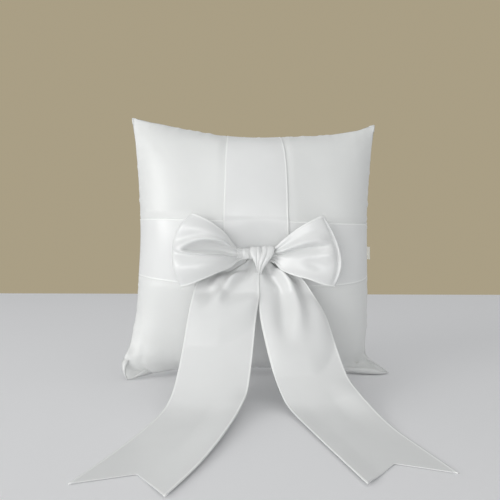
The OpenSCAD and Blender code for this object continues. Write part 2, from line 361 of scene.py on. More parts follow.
# the pillow, inflated from two flat squares of satin sewn together
pillow = {
    "side": 223.0,  # mm, flat side of each square
    "cells": 50,
    "pinX": 108.0,  # mm, how far out the corners stand
    "pinHeight": 216.0,
    "domed": 2.0,  # mm, how far the squares stand apart before the air comes in
    "pressure": 80.0,
    "mass": 0.1,  # kg per point
    "damping": 5,
    "drawnBy": 15,  # the step by which the corners have been drawn in
    "stiffness": 20.0,
    "bending": 0.3,
    "shear": 0.3,  # share of the stiffness
    "steps": 40,
    "quality": 5,
    "smoothing": 12,  # passes
    "swell": 0.5,  # mm
    "finer": 3,
    "panel": 0.5,  # mm, thickness of the satin
    "allowance": 5.0,  # mm, seam allowance turned in
    "trimmed": (2.0, 16.0),  # mm from a corner, between which it widens
    "apart": 0.2,  # mm, how far it lies off the seam's own plane
}


def inflatePillow():
    cells = pillow["cells"]
    side = pillow["side"] * mm
    verts = []
    number = {}

    def cornerOf(i, j, layer):
        inner = i not in (0, cells) and j not in (0, cells)
        key = (i, j, layer if inner else 0)
        if key not in number:
            s = 2 * j / cells - 1
            t = 2 * i / cells - 1
            lift = pillow["domed"] * mm * math.sqrt((1 - s * s) * (1 - t * t))
            number[key] = len(verts)
            depth = (lift if layer else -lift) if inner else 0
            verts.append((side / 2 * s, depth, side / 2 * (t + 1)))
        return number[key]

    faces = []
    for layer in (0, 1):
        for i in range(cells):
            for j in range(cells):
                ring = [cornerOf(i, j, layer), cornerOf(i, j + 1, layer),
                        cornerOf(i + 1, j + 1, layer), cornerOf(i + 1, j, layer)]
                faces.append(ring if layer == 0 else ring[::-1])
    mesh = bpy.data.meshes.new("inflating")
    mesh.from_pydata(verts, [], faces)
    cloth = addObject("inflating", mesh)

    # the four corners are pinned and drawn in a little, as the stuffing draws them
    pins = cloth.vertex_groups.new(name="pins")
    drawn = np.array(verts)
    for (i, j, layer), vert in number.items():
        for row in (0, cells):
            for col in (0, cells):
                if abs(i - row) + abs(j - col) <= 1:
                    pins.add([vert], 1.0, "REPLACE")
                    drawn[vert, 0] += math.copysign(side / 2 - pillow["pinX"] * mm, cells / 2 - col)
                    drawn[vert, 2] += (side - pillow["pinHeight"] * mm) * (-0.5 if row else 0.5)
    cloth.shape_key_add(name="flat")
    key = cloth.shape_key_add(name="drawn")
    key.data.foreach_set("co", drawn.astype(np.float32).ravel())
    key.value = 0
    key.keyframe_insert("value", frame=1)
    key.value = 1
    key.keyframe_insert("value", frame=pillow["drawnBy"])

    modifier = cloth.modifiers.new("cloth", "CLOTH")
    c = modifier.settings
    c.quality = pillow["quality"]
    c.mass = pillow["mass"]
    c.vertex_group_mass = "pins"
    c.tension_stiffness = pillow["stiffness"]
    c.compression_stiffness = pillow["stiffness"]
    c.shear_stiffness = pillow["stiffness"] * pillow["shear"]
    c.bending_stiffness = pillow["bending"]
    c.tension_damping = c.compression_damping = c.shear_damping = pillow["damping"]
    c.use_pressure = True
    c.uniform_pressure_force = pillow["pressure"]
    c.effector_weights.gravity = 0
    modifier.collision_settings.use_collision = False
    modifier.point_cache.frame_end = pillow["steps"]
    for step in range(1, pillow["steps"] + 1):
        bpy.context.scene.frame_set(step)
    shaped = cloth.evaluated_get(bpy.context.evaluated_depsgraph_get()).to_mesh()
    co = np.empty(len(shaped.vertices) * 3, np.float32)
    shaped.vertices.foreach_get("co", co)
    co = co.reshape(-1, 3).astype(float)
    across = range(cells + 1)
    grids = [np.array([[co[cornerOf(i, j, layer)] for j in across] for i in across]) for layer in (0, 1)]
    action = cloth.data.shape_keys.animation_data.action
    bpy.data.objects.remove(cloth)
    bpy.data.meshes.remove(mesh)
    bpy.data.actions.remove(action)
    bpy.context.scene.frame_set(1)
    return grids


frontRaw, backRaw = inflatePillow()
print("pillow inflated: front", shown(frontRaw[:, :, 1].min()), "back", shown(backRaw[:, :, 1].max()))

# Where the seams come to rest once the pillow stands: [share of the side, place in mm]. The sides'
# places are from the middle, from the lower corner up; the others are heights, from left to right.
seamRest = {
    "left": [(-1, -102), (-0.93, -105.5), (-0.87, -105.5), (-0.77, -101), (-0.55, -97), (-0.2, -95),
             (0.1, -93.9), (0.5, -96), (0.8, -99), (1, -102.5)],
    "right": [(-1, 119.5), (-0.965, 114.5), (-0.93, 108.5), (-0.895, 104), (-0.86, 102.6), (-0.5, 102.2),
              (0, 100.5), (0.4, 101), (0.8, 104), (1, 108)],
    "lower": [(-1, 1), (-0.85, 3), (-0.6, 5), (-0.2, 5.5), (0.2, 4.5), (0.6, 2), (0.88, 1.2), (1, 1)],
    "upper": [(-1, 217.5), (-0.85, 213.5), (-0.55, 207.5), (-0.25, 203), (0, 202), (0.25, 203.5),
              (0.6, 206), (0.85, 211), (1, 217)],
}
# How far the seams lie towards the back, in mm, in the same order as seamRest
seamDepth = {
    "left": [(-1, -22), (-0.95, -21.5), (-0.87, -19), (-0.72, -10), (-0.5, -3), (-0.2, 0), (0.5, 0),
             (0.8, 1), (1, 7)],
    "right": [(-1, -6), (-0.96, 3), (-0.92, 7.5), (-0.86, 8.5), (-0.7, 5), (-0.4, 1), (0.2, 0), (0.8, 1),
              (1, 7)],
    "lower": [(-1, -22), (-0.92, -18), (-0.84, -13), (-0.6, -4), (-0.2, 0), (0.3, 0), (0.6, -4), (0.84, -10),
              (0.93, -10), (1, -6)],
    "upper": [(-1, 7), (-0.8, 1), (-0.3, 0), (0.3, 0), (0.8, 1), (1, 7)],
}
flatCorner = 0.34  # the lower corners hold no stuffing nearer than this, as a share of half the side
# the ear at the lower right corner: how wide and high, as shares of half the side, and how far back, in mm
ear = {"wide": 0.15, "crease": 0.014, "high": (0.05, 0.13), "back": 6.5}
# the crease across the lower left corner: where it meets the lower and the left seam, as shares
cornerCrease = {"lower": 0.19, "left": 0.14, "deep": 1.6, "reach": 0.14}


def restAt(side, count, table=seamRest):
    share, place = zip(*table[side])
    at = np.interp(np.linspace(-1, 1, count), share, np.arange(len(share)))
    return splineAt(np.array(place), at) * mm


def settle(grid):
    # moves the inflated shape's seams and corners to where they rest on the table
    n = len(grid)
    s = np.linspace(-1, 1, n)[None, :]
    t = np.linspace(-1, 1, n)[:, None]
    kept = 0.15  # share of the inflated shape's own creases
    g = grid * kept + blurred(grid, pillow["smoothing"]) * (1 - kept)
    near = {"left": (1 - s) / 2, "right": (1 + s) / 2, "lower": (1 - t) / 2, "upper": (1 + t) / 2}
    rim = {"left": g[:, :1, 0], "right": g[:, -1:, 0], "lower": g[:1, :, 2], "upper": g[-1:, :, 2]}
    # a seam moves the cloth near it, sideways or up over a long way and in depth over a short one
    far = {side: near[side] ** 1.5 for side in near}
    close = {side: near[side] ** 5 for side in near}
    sides = {side: restAt(side, n).reshape(rim[side].shape) - rim[side] for side in rim}
    g[:, :, 0] += sides["left"] * far["left"] + sides["right"] * far["right"]
    g[:, :, 2] += sides["lower"] * far["lower"] + sides["upper"] * far["upper"]
    empty = 1 - ease(0.06, flatCorner, (1 - np.abs(s)) + (1 + t))
    g[:, :, 1] *= 1 - 0.85 * empty
    for side in near:
        line = restAt(side, n, seamDepth)
        g[:, :, 1] += close[side] * line.reshape(rim[side].shape)
        if side in ("left", "right"):
            g[:, :, 1] -= close[side] * (close["lower"] * line[0] + close["upper"] * line[-1])
    # the stuffing lies in soft upright swells
    swell = np.cos(s * 9.5 + 0.6) * np.cos(t * 2.0 - 0.4) + 0.6 * np.cos(s * 15.0 + t * 2.2 + 2.0)
    g[:, :, 1] += np.sign(g[:, :, 1]) * pillow["swell"] * mm * swell * (1 - s**4) * (1 - t**4)
    return g


frontNet = settle(frontRaw)
backNet = settle(backRaw)
print("pillow settled: front", shown(frontNet[:, :, 1].min()), "back", shown(backNet[:, :, 1].max()))

fineCount = pillow["cells"] * pillow["finer"] + 1
netAt = np.linspace(0, pillow["cells"], fineCount)
frontFine = surfaceAt(frontNet, netAt, netAt)
backFine = surfaceAt(backNet, netAt, netAt)
flatAt = np.linspace(-1, 1, fineCount) * pillow["side"] / 2 * mm  # flat place of each row and column

# the bands' places on the front, and the cloth under them
bands = {
    "width": 50.0,  # mm
    "midX": -1.5,  # mm, flat, of the band that runs up
    "midUp": -2.0,  # mm, flat, of the band that runs across, from the pillow's middle
    "thick": 0.5,
    "lift": 0.45,
    "over": 0.75,  # mm more where one lies over the other
    "dimple": 9.5,  # mm, how deep the knot pulls in
    "dimpleReach": 24.0,
    "blur": 9.0,  # mm, so that the pillow's small creases stay under them
    "pressed": 0.25,  # mm, how deep they press into the panel
    "columns": 24,
}
knotAt = np.array([5.7, 100.0]) * mm


def dimpled(grid):
    away = (grid[:, :, 0] - knotAt[0]) ** 2 + (grid[:, :, 2] - knotAt[1]) ** 2
    g = grid.copy()
    g[:, :, 1] += bands["dimple"] * mm * np.exp(-away / (bands["dimpleReach"] * mm) ** 2)
    return g


cellSize = pillow["side"] / (fineCount - 1)
smoothPasses = int(2 * (bands["blur"] / cellSize) ** 2)
smoothFront = dimpled(blurred(frontFine, smoothPasses))
frontFine = dimpled(frontFine)
halfBand = bands["width"] / 2 * mm


def underBands(inner, outer):
    # 1 under either band, easing to 0 from inner to outer, in mm past its edge
    upEdge, acrossEdge = (
        ease(halfBand + inner * mm, halfBand + outer * mm, np.abs(flatAt - bands[middle] * mm))
        for middle in ("midX", "midUp")
    )
    return 1 - np.minimum(upEdge[None, :], acrossEdge[:, None])


panelFront = frontFine + (smoothFront - frontFine) * underBands(0, 7)[:, :, None]
pressed = bands["pressed"] * mm * underBands(-1.5, 0)
panelFront = panelFront - outward(smoothFront) * pressed[:, :, None]

# puckers where the seam gathers the cloth, in mm
pucker = {"high": (0.25, 0.8), "wide": (2.2, 4.2), "apart": (6, 14), "deep": 7.0, "strength": 2.2}


def puckered(grid, side, seed):
    rng = np.random.default_rng(seed)
    n = len(grid)
    g = grid.copy()
    normals = outward(grid) * side
    edgeAway = np.minimum(np.arange(n), np.arange(n)[::-1]) * cellSize * mm
    for shape in ((-1, 1), (1, -1)):  # the lower and upper seams, then the sides
        wave = np.zeros(n)
        place = flatAt[0] + 4 * mm
        while place < flatAt[-1] - 4 * mm:
            high = rng.uniform(*pucker["high"]) * mm
            wide = rng.uniform(*pucker["wide"]) * mm
            wave += high * hill(flatAt, place, wide)
            place += rng.uniform(*pucker["apart"]) * mm
        away = edgeAway.reshape(shape)
        rise = ease(0, 2.5 * mm, away) * np.exp(-away / (pucker["deep"] * mm))
        g = g + normals * (wave.reshape(shape[::-1]) * rise)[:, :, None] * pucker["strength"]
    return g


panelFront = puckered(panelFront, 1, 11)
panelBack = puckered(backFine, -1, 23)
# both panels are creased across the lower left corner
sharePlace = flatAt / (pillow["side"] / 2 * mm) + 1
creaseAway = sharePlace[None, :] / cornerCrease["lower"] + sharePlace[:, None] / cornerCrease["left"]
turnedIn = cornerCrease["deep"] * mm * hill(creaseAway, 1, cornerCrease["reach"])
# and the lower right corner lies behind the stuffed part, as an ear with a crease beside it
fromRight, fromLower = 2 - sharePlace[None, :], sharePlace[:, None]
earWide = 1 - ease(ear["wide"] - ear["crease"], ear["wide"] + ear["crease"], fromRight)
earHigh = 1 - ease(*ear["high"], fromLower)
earEdge = ease(0, 0.05, fromRight) * ease(0, 0.03, fromLower)
turnedIn = turnedIn + ear["back"] * mm * earWide * earHigh * earEdge
panelFront[:, :, 1] += turnedIn
panelBack[:, :, 1] += turnedIn


def aboveTable(grid, least=0.6):
    g = grid.copy()
    g[:, :, 2] = np.maximum(g[:, :, 2], least * mm)
    return g


def withAllowance(grid, side):
    # adds the seam allowance: two more rows and columns that turn in between the panels
    n = len(grid)
    pick = np.clip(np.arange(-2, n + 2), 0, n - 1)
    g = grid[np.ix_(pick, pick)].copy()
    shift = np.concatenate([allowance, np.zeros(n), -allowance[::-1]])
    # it is trimmed away towards the corners, so that they turn out sharp
    fromCorner = np.minimum(pick, n - 1 - pick) * cellSize * mm
    kept = 0.1 + 0.9 * ease(*(way * mm for way in pillow["trimmed"]), fromCorner)
    g[:, :, 0] += shift[None, :] * kept[:, None]
    g[:, :, 2] += shift[:, None] * kept[None, :]
    turned = np.minimum(1, np.maximum(np.abs(shift)[None, :], np.abs(shift)[:, None]) / mm)
    g[:, :, 1] += side * pillow["apart"] * mm * turned
    return g


allowance = np.array([1, 0.5]) * pillow["allowance"] * mm
flatSheet = np.concatenate([flatAt[0] - allowance, flatAt, flatAt[-1] + allowance[::-1]])
frontSheet = withAllowance(aboveTable(panelFront), -1)
backSheet = withAllowance(aboveTable(panelBack), 1)[:, ::-1]
for name, grid, cadNode in (
    ("frontPanel", frontSheet, "front_panel"),
    ("backPanel", backSheet, "back_panel"),
):
    panel = clothSheet(name, grid, flatSheet, flatSheet, pillow["panel"] * mm, offset=-1)
    register(panel, coverSatin, "satin_cover", cadNode)
print("panels made")


# the fibre filling, just inside the cover
stuffing = {
    "step": 2,  # every second row of the panels
    "inset": 6,  # rows left out at the seam, where the allowances lie
    "shrink": 1.2,  # mm
    "least": 1.6,  # mm above the table
}


def makeFilling():
    pick = np.arange(stuffing["inset"], fineCount - stuffing["inset"], stuffing["step"])
    front = blurred(panelFront, 6)
    back = blurred(panelBack, 6)
    # where the cover is nearly flat, in the corners, the filling keeps between the panels
    inward = np.clip((back - front)[:, :, 1] * 0.35, 0, stuffing["shrink"] * mm)[:, :, None]
    front = (front - outward(front) * inward)[np.ix_(pick, pick)]
    back = (back + outward(back) * inward)[np.ix_(pick, pick)]
    n = len(pick)
    verts = np.concatenate([front.reshape(-1, 3), back.reshape(-1, 3)])
    verts[:, 2] = np.maximum(verts[:, 2], stuffing["least"] * mm)
    at = np.arange(n * n).reshape(n, n)
    behind = n * n  # a point's number at the back is this much higher than in front
    rim = np.concatenate([at[0, :-1], at[:-1, -1], at[-1, :0:-1], at[:0:-1, 0]])
    following = np.roll(rim, -1)
    sides = np.stack([following, rim, behind + rim, behind + following], axis=1)
    faces = np.concatenate([quadsOf(at), quadsOf(behind + at)[:, [0, 3, 2, 1]], sides])
    mesh = bpy.data.meshes.new("fibreFilling")
    mesh.from_pydata(verts.tolist(), [], faces.tolist())
    shadeSmooth(mesh)
    return addObject("fibreFilling", mesh)


filling = register(makeFilling(), fibreFluff, "fibre_fill", "fibre_filling")
print("filling made")


# ribbon columns: close together at the woven edges
def ribbonColumns(half, count):
    inside = np.linspace(-half + 2.2 * mm, half - 2.2 * mm, count)
    edge = np.array([0, 0.45, 0.95, 1.25, 1.7]) * mm
    return np.concatenate([-half + edge, inside, (half - edge)[::-1]])


# the two bands
toNet = (fineCount - 1) / (pillow["side"] * mm)


def netPlace(flat):
    return (np.asarray(flat) + pillow["side"] / 2 * mm) * toNet


def makeBands():
    columns = ribbonColumns(halfBand, bands["columns"])
    smoothOut = outward(smoothFront)
    along = netPlace(flatAt)
    nearSeam = 1 - 0.7 * ease(flatAt[-1] - 5 * mm, flatAt[-1], np.abs(flatAt))
    # across
    rows = netPlace(columns + bands["midUp"] * mm)
    rise = bands["lift"] * mm * nearSeam
    grid = surfaceAt(smoothFront, rows, along) + surfaceAt(smoothOut, rows, along) * rise[None, :, None]
    grid = aboveTable(grid.swapaxes(0, 1)[::-1])  # rows run along the band, to the left, so columns run up
    across = clothSheet("horizontalBand", grid, columns, flatAt, bands["thick"] * mm, selvage=True)
    # up, over the other
    cols = netPlace(columns + bands["midX"] * mm)
    over = 1 - ease(halfBand, halfBand + 3 * mm, np.abs(flatAt - bands["midUp"] * mm))
    rise = (bands["lift"] + bands["over"] * over) * mm * nearSeam
    grid = surfaceAt(smoothFront, along, cols) + surfaceAt(smoothOut, along, cols) * rise[:, None, None]
    up = clothSheet("verticalBand", aboveTable(grid, 0.9), columns, flatAt, bands["thick"] * mm, selvage=True)
    return across, up


acrossBand, upBand = makeBands()
for band, cadNode, under in (
    (acrossBand, "horizontal_band", "frontPanel"),
    (upBand, "vertical_band", "horizontalBand"),
):
    register(band, ribbonSatin, "satin_ribbon", cadNode)
midColumn = smoothFront[:, fineCount // 2]
knotSurface = midColumn[np.argmin(np.abs(midColumn[:, 2] - knotAt[1])), 1]
print("bands made, front of the pillow behind the knot at", shown(knotSurface))


# ribbon along a few stations
def ribbonNet(stations, rows, columns):
    # stations: [lower x, y, z, upper x, y, z]; a row runs from the lower edge to the upper
    fine = splineAt(np.array(stations, float), np.linspace(0, len(stations) - 1, rows)) * mm
    share = (columns / columns[-1] + 1) / 2
    return fine[:, None, :3] * (1 - share[None, :, None]) + fine[:, None, 3:] * share[None, :, None]


backOfKnot = knotSurface - 1.6 * mm

# loops of the bow. Stations are [lower x, y, z, upper x, y, z] in mm; y is from the knot's
# back, forwards negative. The front layer comes first, then the fold, then the layer behind.
leftLoop = {
    "stations": [
        [2, -6.5, 101, 2, -6.5, 107], [-6, -7.5, 100, -6, -7.5, 107.5],
        [-13.5, -9.5, 98.5, -13.5, -9.5, 108], [-19, -13.5, 93.8, -18.5, -13, 112.5],
        [-28, -18, 90.2, -25.5, -17, 121], [-40, -21, 85, -35, -19.5, 128.3],
        [-50, -21, 80.6, -43, -20, 132.6], [-57.3, -18.5, 78.2, -48.3, -18, 134.8],
        [-57.6, -12.5, 78.6, -48.8, -12, 134.4], [-50, -10, 83.5, -43, -9.5, 130],
        [-38, -7.5, 88, -34, -7, 124], [-26, -5, 92, -25, -4.5, 116],
        [-14, -4, 97.5, -14, -4, 108.5], [-4, -4, 100, -4, -4, 107],
    ],
    "foldAt": 7.5,  # the station round which the ribbon folds
    "bulge": 11.2,  # mm, how far the middle of the fold stands out past its corners
    "round": 0.9,  # less makes the bulge squarer
    "skew": 0.25,  # how much further it stands out above the middle
    "lean": (-1.0, 0.0, 0.10),
    "from": 2.5,  # the station by which the front is free of the knot
    "gather": (1.1, 7.5, 0.6, 2.2, 1.5),  # mm, waves, phase, then their middle and reach in stations
    "fineGather": (0.5, 16, 1.7, 2.2, 0.9),
    "hang": (3.2, 0.5),  # waves and phase of the layer behind
}
rightLoop = {
    "stations": [
        [4, -6.5, 97, 4, -6.5, 106], [10, -8, 98, 11, -8, 107],
        [14.5, -11, 97.5, 15.5, -11, 109.5], [20, -15.5, 91.8, 21, -15, 115],
        [29, -19.5, 87.6, 30, -18.5, 122.8], [40, -22, 84.8, 39.5, -21, 129],
        [52.5, -21.5, 80.4, 47.5, -20.5, 133], [61, -18.5, 78.9, 52, -18, 134.5],
        [61.4, -12.5, 79.3, 52.4, -12, 134.1], [51, -10, 84, 45, -9.5, 130],
        [38, -7.5, 88, 36, -7, 123], [26, -5, 92, 25, -4.5, 115],
        [14, -4, 97, 14, -4, 108], [6, -4, 99, 6, -4, 106],
    ],
    "foldAt": 7.5,
    "bulge": 9.3,
    "round": 1.05,
    "skew": -0.08,
    "lean": (1.0, 0.0, -0.12),
    "from": 2.2,
    "gather": (1.0, 7.0, -0.4, 2.2, 1.3),
    "fineGather": (0.5, 15, 0.9, 2.0, 0.9),
    "hang": (3.4, -0.7),
}
loops = {"rows": 150, "columns": 52, "length": 0.127}  # length in metres


def leftFront(at, w, front, full):
    # the two lobes stand forward
    y = -5.0 * bump(w, -0.52, 0.56) * full - 3.0 * bump(w, 0.64, 0.42) * full
    # the pointed hollow between them: sharp along its lower edge, soft along the upper one
    middle = 0.04 - 0.02 * (at - 4)
    half = np.where(w < middle, 0.20, 0.46)
    tip = np.clip((at - 3.4) / 3.0, 0, None)
    fromMiddle = np.abs((w - middle) / half) ** 1.5 + tip**1.6
    y += 8.6 * np.clip(1 - fromMiddle, 0, 1) ** 0.9 * ease(1.6, 4.6, at) * front
    # a raised lip runs round the hollow, sharpest along its lower edge
    lip = hill(fromMiddle, 1.12, np.where(w < middle, 0.20, 0.30))
    return y - 3.4 * lip * ease(2, 3.4, at) * (1 - ease(6.9, 7.4, at))


def rightFront(at, w, front, full):
    y = -3.2 * bump(w, -0.35, 0.75) * full
    # a creased groove from the neck, with a lip above it
    away = w - (0.10 + 0.02 * (at - 3))
    depth = ease(1.6, 2.8, at) * (1 - ease(5.4, 6.6, at))
    y += 4.8 * hill(away, 0, np.where(away < 0, 0.20, 0.07)) * depth
    y -= 3.6 * hill(away, 0.22, 0.15) * depth
    # the soft boss where the groove ends, near the fold
    y -= 3.4 * hill(at, 6.0, 0.55) * hill(w, 0.02, 0.26) * front
    # a shallow hollow in the lower front
    y += 3.0 * hill(at, 5.2, 0.9) * hill(w, -0.40, 0.3) * front
    # the ribbon was once pressed along a line just before the fold
    return y + (1.8 * hill(at, 6.68, 0.17) - 1.0 * hill(at, 6.98, 0.13)) * (1 - w**4)


def gathered(at, w, high, waves, phase, middle, reach):
    # gathers that run out from the neck
    return high * np.cos(waves * w + phase) * hill(at, middle, reach)


def makeLoop(loop, shapeFront):
    # a fan of ribbon, with a fold whose middle stands out, then its hollows and ridges
    columns = ribbonColumns(halfBand, loops["columns"])
    grid = ribbonNet(loop["stations"], loops["rows"], columns)
    at = np.linspace(0, len(loop["stations"]) - 1, loops["rows"])[:, None]
    w = (columns / columns[-1])[None, :]
    out = hill(at, loop["foldAt"], 2.0) * (1 - w**2) ** loop["round"] * (1 + loop["skew"] * w)
    lean = np.array(loop["lean"]) / np.linalg.norm(loop["lean"])
    grid = grid + (loop["bulge"] * mm * out)[:, :, None] * lean
    front = ease(0.5, loop["from"], at) * (1 - ease(7.0, 7.8, at))
    full = ease(2, 5, at) * (1 - ease(7.2, 9.5, at))
    y = shapeFront(at, w, front, full)
    y -= gathered(at, w, *loop["gather"]) * front + gathered(at, w, *loop["fineGather"])
    # the layer behind hangs in one soft wave
    waves, phase = loop["hang"]
    y += 1.2 * np.cos(waves * w + phase) * ease(8.2, 10, at) * (1 - ease(11.5, 13, at))
    grid[:, :, 1] += y * mm + backOfKnot
    return grid, columns


def alongRibbon(grid):
    # how far along the ribbon each row lies, in metres, by the longest of its columns
    step = np.linalg.norm(np.diff(grid, axis=0), axis=2).max(axis=1)
    return np.concatenate([[0], np.cumsum(step)])


ribbonThick = 0.65 * mm
# the left loop runs out to the left, so its grid is turned to face outwards
for name, made, cadNode, turned in (
    ("bowLoopLeft", makeLoop(leftLoop, leftFront), "bow_loop_left", -1),
    ("bowLoopRight", makeLoop(rightLoop, rightFront), "bow_loop_right", 1),
):
    grid, columns = made
    loop = clothSheet(name, grid[::turned], columns, alongRibbon(grid), ribbonThick, selvage=True)
    register(loop, ribbonSatin, "satin_ribbon", cadNode)
print("loops made")

# tails. Stations are [middle x, y, z, half width, heading] in mm and degrees; y is from the knot's
# back, forwards negative.
tails = {
    "left": [
        [-1.0, -0.9, 104, 5.0, 0], [-5, -2.2, 97, 9.5, 0],
        [-12, -6, 91, 16, 1], [-18.5, -11, 85.5, 21.5, 3],
        [-22, -15.5, 80, 24.5, 4], [-23.5, -20, 71, 25.7, 6],
        [-26.5, -30, 57, 25.7, 8], [-29.5, -45, 39, 25.7, 10],
        [-33, -62, 21, 25.7, 12], [-37, -79, 8.5, 25.7, 14],
        [-42.5, -96, 2.4, 25.7, 16], [-52, -127, 0.8, 25.7, 18],
        [-64.5, -163, 0.5, 25.5, 20], [-79.5, -200, 0.5, 24.5, 21],
    ],
    "right": [
        [9.0, -0.9, 104, 5.0, 0], [11, -2.2, 97, 8, 0],
        [15, -6, 91, 12.5, 0], [19, -11, 85.5, 16.5, -1],
        [21.5, -15.5, 80, 19, -2], [24, -20, 71, 22, -3],
        [27.5, -30, 57, 25.5, -4], [31, -45, 39, 26.2, -5],
        [35, -62, 21, 26.2, -5], [39.5, -79, 8.5, 26.2, -6],
        [44.5, -96, 2.4, 26.2, -6], [50.5, -128, 0.8, 26, -7],
        [56.5, -164, 0.5, 25.7, -9], [61.5, -195, 0.5, 25.5, -14],
    ],
    "rows": 170,
    "columns": 40,
    "notch": 20.0,  # mm, depth of the V cut
    "cutRows": 26,  # the rows that the cut spreads over
    "least": 0.45,  # mm above the table
    "length": 0.25,  # metres
}


def tailNet(stations, columns):
    at = np.linspace(0, len(stations) - 1, tails["rows"])
    x, y, z, half, heading = (part[:, None] for part in splineAt(stations, at).T)
    w = (columns / columns[-1])[None, :]
    heading = np.radians(heading)
    grid = np.stack([x + w * half * np.cos(heading), y - w * half * np.sin(heading), z + 0 * w], axis=2)
    return grid * mm, at[:, None], w


def cutEnd(grid, w):
    # the V cut: the last rows are drawn back towards the middle of the ribbon
    run = tails["cutRows"]
    share = np.clip((np.arange(len(grid)) - len(grid) + 1 + run) / run, 0, 1)[:, None]
    end = grid[-1, len(grid[0]) // 2] - grid[-5, len(grid[0]) // 2]
    back = tails["notch"] * mm * (1 - np.abs(w)) * share
    return grid - back[:, :, None] * end / np.linalg.norm(end)


def makeTail(stations, folds, lift):
    columns = ribbonColumns(halfBand, tails["columns"])
    grid, at, w = tailNet(stations, columns)
    grid = cutEnd(grid, w)
    # folds are pushed out along the ribbon's own normal
    normals = outward(grid[::-1])[::-1]
    grid = grid + normals * (folds(at, w) * mm)[:, :, None]
    grid[:, :, 1] += backOfKnot
    grid[:, :, 2] += lift(at, w) * mm
    return aboveTable(grid, tails["least"]), columns


def belly(at, w, edge):
    # the hanging ribbon bows out, then turns in sharply along a line
    fall = np.clip((at - edge + 1.2) / 1.2, 0, 1)
    return ease(4.6, edge - 1.2, at) * (1 - fall**2) * (1 - w**6)


def leftFolds(at, w):
    folds = 2.0 * np.cos(6.6 * w + 0.5) * hill(at, 2.2, 1.9)
    # a V drape: two soft folds that run down to one dimple
    droop = ease(1.5, 3.2, at) * (1 - ease(4.6, 6.2, at))
    folds += 3.2 * hill(w, -0.62 + 0.14 * (at - 2), 0.19) * droop
    folds += 4.6 * hill(w, 0.35 - 0.17 * (at - 2), 0.19) * droop
    folds -= 3.8 * hill(at, 4.3, 0.8) * hill(w, -0.16, 0.20)
    folds += 4.5 * belly(at, w, 7.15 - 0.7 * np.maximum(w, 0))
    # the hanging stretch is bowed a little across its width
    folds += 2.2 * (1 - w**2) * ease(5, 7, at) * (1 - ease(8, 10.5, at))
    return folds


def rightFolds(at, w):
    folds = 2.0 * np.cos(6.2 * w - 0.8) * hill(at, 2.2, 1.9)
    # an S-shaped ridge with a valley to the left of it
    ridge = 0.05 + 0.22 * np.sin((at - 2.2) * 0.75)
    run = ease(1.5, 2.8, at) * (1 - ease(5.8, 7.4, at))
    folds += 5.0 * hill(w, ridge, 0.24) * run
    folds -= 3.6 * hill(w, ridge - 0.44, 0.22) * run * ease(2.5, 4, at)
    folds += 5.0 * belly(at, w, 8.15 - 1.05 * np.maximum(w, 0) ** 1.5)
    folds += 2.0 * (1 - w**2) * ease(7, 8, at) * (1 - ease(8.4, 10.5, at))
    return folds


def leftLift(at, w):
    # the inner edge stands a little off the table
    return 4.5 * ease(0.1, 1, w) * ease(8.3, 9.6, at) * (1 - 0.8 * ease(10, 13, at))


def rightLift(at, w):
    # the outer edge stands off where the ribbon comes down, the inner one further out
    outer = 4.0 * ease(0.2, 1, w) * ease(8.0, 9.3, at) * (1 - ease(9.6, 11.2, at))
    return outer + 1.2 * ease(0.4, 1, -w) * ease(9, 10.5, at)


for name, side, folds, lift, cadNode in (
    ("bowTailLeft", "left", leftFolds, leftLift, "bow_tail_left"),
    ("bowTailRight", "right", rightFolds, rightLift, "bow_tail_right"),
):
    grid, columns = makeTail(tails[side], folds, lift)
    # rows run down and forwards, so they are turned to face the viewer
    piece = clothSheet(name, grid[::-1], columns, -alongRibbon(grid)[::-1], ribbonThick, selvage=True)
    register(piece, ribbonSatin, "satin_ribbon", cadNode)
print("tails made")

# the knot: a pleated wrap that narrows to a point below, and the drawn-in strip beside it
knot = {
    "midX": 5.0, "midZ": 99.0,  # mm
    "height": 20.0, "depth": 14.5,
    "topHalf": 9.6, "pointHalf": 2.2, "pointX": 3.0,
    "meetTop": -0.02, "meetPoint": -0.42,  # where the strands meet, as shares of the half width
    "stripX": (-14.5, -1.0), "stripZ": 104.0, "stripHeight": 9.0, "stripDepth": 6.5,
    "stripForward": 6.5,
    "columns": 49, "around": 96, "stripColumns": 41, "stripAround": 64,
    "corners": 0.8,  # less makes both squarer
    "thick": 0.5,
}


def squashedRing(around, height, depth):
    # a rounded ring: y forwards, z up, from the front and then up
    angle = np.linspace(0, 2 * math.pi, around, endpoint=False)[:, None]
    c, s = np.cos(angle), np.sin(angle)
    power = knot["corners"]
    return angle, -depth / 2 * np.sign(c) * np.abs(c) ** power, height / 2 * np.sign(s) * np.abs(s) ** power


